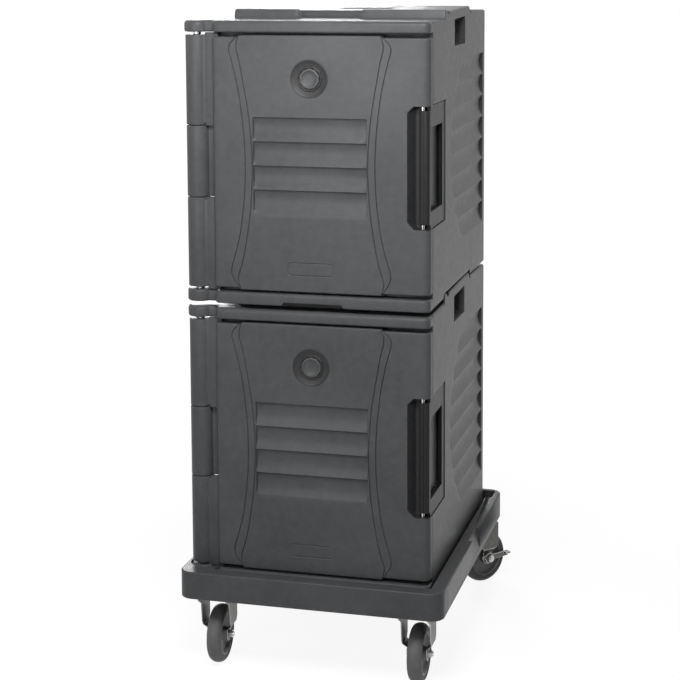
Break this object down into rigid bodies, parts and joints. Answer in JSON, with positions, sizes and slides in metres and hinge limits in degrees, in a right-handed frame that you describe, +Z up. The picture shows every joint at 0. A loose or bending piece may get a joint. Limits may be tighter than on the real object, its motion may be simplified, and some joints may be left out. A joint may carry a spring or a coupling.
{
  "type": "enclosed meal tray cart",
  "caption": "Stack of insulated front-loading food carriers with hinged doors and side latches on a moulded dolly with swivel casters and foot brakes.",
  "frame": {"origin": "on the floor, under the middle of the cart's bounding box", "axes": "+Z up; the doors face -Y; +X to the right of someone who faces the doors"},
  "size_m": [0.6308, 0.7826, 1.446],
  "materials": {
    "moulded_charcoal": "matte",
    "insulation": "matte",
    "latch_black": "satin",
    "vent_black": "satin",
    "gasket_grey": "matte",
    "stainless": "satin",
    "zinc_plated": "satin",
    "tread_grey": "matte",
    "core_grey": "satin"
  },
  "bodies": {
    "dolly": {"dolly_shell": "moulded_charcoal", "dolly_foam": "insulation", "caster_bolts": "zinc_plated", "kingpins": "zinc_plated", "front_left_caster_plate": "zinc_plated", "front_right_caster_plate": "zinc_plated", "rear_left_caster_plate": "zinc_plated", "rear_right_caster_plate": "zinc_plated"},
    "lower_carrier": {"lower_body_shell": "moulded_charcoal", "lower_cabin_liner": "moulded_charcoal", "lower_body_foam": "insulation", "lower_hinge_lugs": "moulded_charcoal", "lower_hinge_pin": "stainless", "lower_hinge_washers": "stainless", "lower_strike_plates": "stainless", "lower_strike_screws": "stainless"},
    "lower_door": {"lower_door_shell": "moulded_charcoal", "lower_door_foam": "insulation", "lower_door_gasket": "gasket_grey", "lower_vent_housing": "vent_black", "lower_latch_pin": "stainless"},
    "lower_latch": {"lower_latch_handle": "latch_black"},
    "lower_vent": {"lower_vent_cap": "vent_black"},
    "upper_carrier": {"upper_body_shell": "moulded_charcoal", "upper_cabin_liner": "moulded_charcoal", "upper_body_foam": "insulation", "upper_hinge_lugs": "moulded_charcoal", "upper_hinge_pin": "stainless", "upper_hinge_washers": "stainless", "upper_strike_plates": "stainless", "upper_strike_screws": "stainless"},
    "upper_door": {"upper_door_shell": "moulded_charcoal", "upper_door_foam": "insulation", "upper_door_gasket": "gasket_grey", "upper_vent_housing": "vent_black", "upper_latch_pin": "stainless"},
    "upper_latch": {"upper_latch_handle": "latch_black"},
    "upper_vent": {"upper_vent_cap": "vent_black"},
    "front_left_fork": {"front_left_fork": "zinc_plated", "front_left_swivel_balls": "stainless", "front_left_axle": "zinc_plated"},
    "front_left_wheel": {"front_left_tyre": "tread_grey", "front_left_wheel_core": "core_grey"},
    "front_right_fork": {"front_right_fork": "zinc_plated", "front_right_swivel_balls": "stainless", "front_right_axle": "zinc_plated"},
    "front_right_wheel": {"front_right_tyre": "tread_grey", "front_right_wheel_core": "core_grey"},
    "rear_left_fork": {"rear_left_fork": "zinc_plated", "rear_left_swivel_balls": "stainless", "rear_left_axle": "zinc_plated"},
    "rear_left_wheel": {"rear_left_tyre": "tread_grey", "rear_left_wheel_core": "core_grey"},
    "rear_left_brake": {"rear_left_brake_lever": "zinc_plated"},
    "rear_right_fork": {"rear_right_fork": "zinc_plated", "rear_right_swivel_balls": "stainless", "rear_right_axle": "zinc_plated"},
    "rear_right_wheel": {"rear_right_tyre": "tread_grey", "rear_right_wheel_core": "core_grey"},
    "rear_right_brake": {"rear_right_brake_lever": "zinc_plated"}
  },
  "joints": [
    {"name": "lower_lift_off", "type": "slide", "parent": "dolly", "child": "lower_carrier", "axis": [0, 0, 1], "range_m": [0, 0.3]},
    {"name": "lower_door_hinge", "type": "hinge", "parent": "lower_carrier", "child": "lower_door", "pos_m": [-0.257, -0.31778, 0.507], "axis": [0, 0, -1], "range_deg": [0, 270]},
    {"name": "lower_latch_swing", "type": "hinge", "parent": "lower_door", "child": "lower_latch", "pos_m": [0.2415, -0.33978, 0.507], "axis": [0, 0, -1], "range_deg": [0, 90]},
    {"name": "lower_vent_turn", "type": "hinge", "parent": "lower_door", "child": "lower_vent", "pos_m": [-0.0005, -0.34278, 0.689], "axis": [0, 1, 0], "range_deg": [0, 90]},
    {"name": "upper_lift_off", "type": "slide", "parent": "lower_carrier", "child": "upper_carrier", "axis": [0, 0, 1], "range_m": [0, 0.3]},
    {"name": "upper_door_hinge", "type": "hinge", "parent": "upper_carrier", "child": "upper_door", "pos_m": [-0.257, -0.31778, 1.123], "axis": [0, 0, -1], "range_deg": [0, 270]},
    {"name": "upper_latch_swing", "type": "hinge", "parent": "upper_door", "child": "upper_latch", "pos_m": [0.2415, -0.33978, 1.123], "axis": [0, 0, -1], "range_deg": [0, 90]},
    {"name": "upper_vent_turn", "type": "hinge", "parent": "upper_door", "child": "upper_vent", "pos_m": [-0.0005, -0.34278, 1.305], "axis": [0, 1, 0], "range_deg": [0, 90]},
    {"name": "front_left_swivel", "type": "hinge", "parent": "dolly", "child": "front_left_fork", "pos_m": [-0.2255, -0.34128, 0.16], "axis": [0, 0, 1], "continuous": true},
    {"name": "front_left_roll", "type": "hinge", "parent": "front_left_fork", "child": "front_left_wheel", "pos_m": [-0.22683, -0.3033, 0.0635], "axis": [0.9994, 0.0349, 0], "continuous": true},
    {"name": "front_right_swivel", "type": "hinge", "parent": "dolly", "child": "front_right_fork", "pos_m": [0.2255, -0.34128, 0.16], "axis": [0, 0, 1], "continuous": true},
    {"name": "front_right_roll", "type": "hinge", "parent": "front_right_fork", "child": "front_right_wheel", "pos_m": [0.2255, -0.30328, 0.0635], "axis": [1, 0, 0], "continuous": true},
    {"name": "rear_left_swivel", "type": "hinge", "parent": "dolly", "child": "rear_left_fork", "pos_m": [-0.2255, 0.30572, 0.16], "axis": [0, 0, 1], "continuous": true},
    {"name": "rear_left_roll", "type": "hinge", "parent": "rear_left_fork", "child": "rear_left_wheel", "pos_m": [-0.24869, 0.33583, 0.0635], "axis": [0.7923, 0.6101, 0], "continuous": true},
    {"name": "rear_left_brake_press", "type": "hinge", "parent": "rear_left_fork", "child": "rear_left_brake", "pos_m": [-0.24869, 0.33583, 0.0635], "axis": [0.7923, 0.6101, 0], "range_deg": [-18, 0]},
    {"name": "rear_right_swivel", "type": "hinge", "parent": "dolly", "child": "rear_right_fork", "pos_m": [0.2255, 0.30572, 0.16], "axis": [0, 0, 1], "continuous": true},
    {"name": "rear_right_roll", "type": "hinge", "parent": "rear_right_fork", "child": "rear_right_wheel", "pos_m": [0.24869, 0.33583, 0.0635], "axis": [0.7923, -0.6101, 0], "continuous": true},
    {"name": "rear_right_brake_press", "type": "hinge", "parent": "rear_right_fork", "child": "rear_right_brake", "pos_m": [0.24869, 0.33583, 0.0635], "axis": [0.7923, -0.6101, 0], "range_deg": [-18, 0]}
  ]
}
